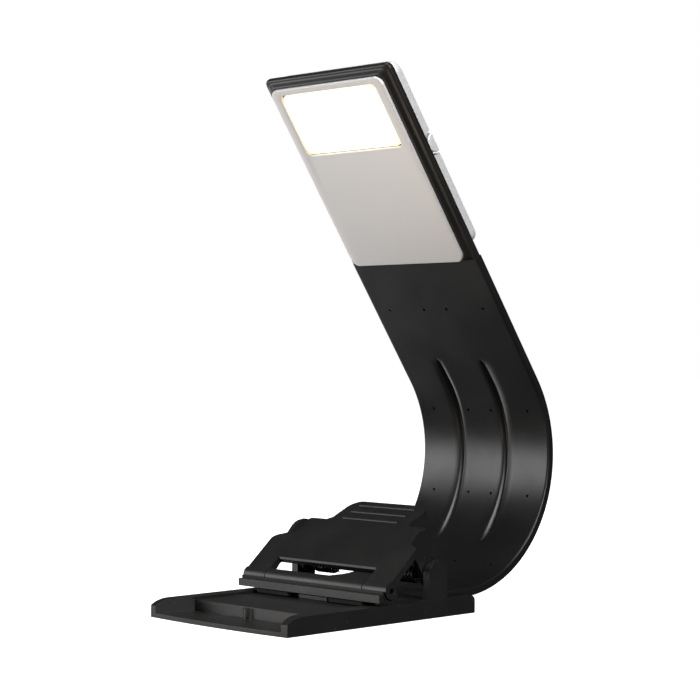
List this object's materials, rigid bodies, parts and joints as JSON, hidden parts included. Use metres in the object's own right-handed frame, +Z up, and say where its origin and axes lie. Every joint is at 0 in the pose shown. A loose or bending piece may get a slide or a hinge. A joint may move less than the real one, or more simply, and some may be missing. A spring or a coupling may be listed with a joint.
{
  "type": "clip on reading lamp",
  "caption": "Clip-on reading lamp: spring clamp base with swivel jaw, bendable strap neck and a flat lit head with a side key.",
  "frame": {"origin": "on the floor under the middle of the whole lamp's outline", "axes": "+Z up, +X across the lamp toward the side with the power key, -Y toward the front of the clamp"},
  "size_m": [0.056, 0.1054, 0.1473],
  "materials": {
    "black_abs": "satin moulded, faint grain",
    "grip_rubber": "matte",
    "bright_steel": "bright drawn",
    "strap_elastomer": "satin",
    "stay_steel": "rolled strip",
    "satin_aluminium": "fine satin",
    "silver_paint": "silver painted plastic",
    "opal_diffuser": "opal, lit from behind",
    "white_reflector": "matte white",
    "circuit_board": "green resist over glass laminate",
    "led_phosphor": "yellow phosphor",
    "cell_foil": "laminated foil",
    "switch_body": "matte"
  },
  "bodies": {
    "base": {"base_tray": "black_abs", "base_bottom_cover": "black_abs", "foot_strip_left": "grip_rubber", "foot_strip_right": "grip_rubber", "pivot_pin": "bright_steel", "torsion_spring_left": "bright_steel", "torsion_spring_right": "bright_steel", "strap_root": "strap_elastomer", "stay_root": "stay_steel", "tongue_screw_left": "bright_steel", "tongue_screw_right": "bright_steel"},
    "lever": {"clamp_lever": "black_abs", "jaw_pin": "bright_steel"},
    "jaw": {"swivel_jaw": "black_abs", "jaw_grip_left": "grip_rubber", "jaw_grip_right": "grip_rubber"},
    "neck_1": {"strap_link_1": "strap_elastomer", "stay_1": "stay_steel"},
    "neck_2": {"strap_link_2": "strap_elastomer", "stay_2": "stay_steel"},
    "neck_3": {"strap_link_3": "strap_elastomer", "stay_3": "stay_steel"},
    "neck_4": {"strap_link_4": "strap_elastomer", "stay_4": "stay_steel"},
    "head": {"strap_link_5": "strap_elastomer", "stay_5": "stay_steel", "head_frame": "black_abs", "front_plate": "satin_aluminium", "diffuser_window": "opal_diffuser", "light_well": "white_reflector", "led_board": "circuit_board", "led_chip_1": "led_phosphor", "led_chip_2": "led_phosphor", "led_chip_3": "led_phosphor", "led_chip_4": "led_phosphor", "led_chip_5": "led_phosphor", "led_chip_6": "led_phosphor", "led_chip_7": "led_phosphor", "led_chip_8": "led_phosphor", "lithium_cell": "cell_foil", "charge_board": "circuit_board", "usb_socket": "bright_steel", "back_shell": "silver_paint", "tact_switch": "switch_body", "switch_board": "circuit_board"},
    "key": {"power_key": "silver_paint"}
  },
  "joints": [
    {"name": "lever_pivot", "type": "hinge", "parent": "base", "child": "lever", "pos_m": [0, 0.00252, 0.011], "axis": [-1, 0, 0], "range_deg": [0, 25], "stiffness_Nm_per_rad": 0.1, "springref_deg": -28.65, "deforming": ["torsion_spring_left", "torsion_spring_right"]},
    {"name": "jaw_swivel", "type": "hinge", "parent": "lever", "child": "jaw", "pos_m": [0, -0.01607, 0.0087], "axis": [1, 0, 0], "range_deg": [0, 25]},
    {"name": "neck_bend_1", "type": "hinge", "parent": "base", "child": "neck_1", "pos_m": [0, 0.02156, 0.00585], "axis": [1, 0, 0], "range_deg": [-25, 12]},
    {"name": "neck_bend_2", "type": "hinge", "parent": "neck_1", "child": "neck_2", "pos_m": [0, 0.03655, 0.01221], "axis": [1, 0, 0], "range_deg": [-25, 12]},
    {"name": "neck_bend_3", "type": "hinge", "parent": "neck_2", "child": "neck_3", "pos_m": [0, 0.04724, 0.0245], "axis": [1, 0, 0], "range_deg": [-25, 12]},
    {"name": "neck_bend_4", "type": "hinge", "parent": "neck_3", "child": "neck_4", "pos_m": [0, 0.05145, 0.04024], "axis": [1, 0, 0], "range_deg": [-25, 12]},
    {"name": "neck_bend_5", "type": "hinge", "parent": "neck_4", "child": "head", "pos_m": [0, 0.04834, 0.05622], "axis": [1, 0, 0], "range_deg": [-25, 12]},
    {"name": "power_key_press", "type": "slide", "parent": "head", "child": "key", "axis": [-1, 0, 0], "range_m": [0, 0.0005], "stiffness_N_per_m": 400, "springref_m": -0.001}
  ],
  "couplings": [
    {"joint": "jaw_swivel", "follows": "lever_pivot", "ratio": 1}
  ]
}
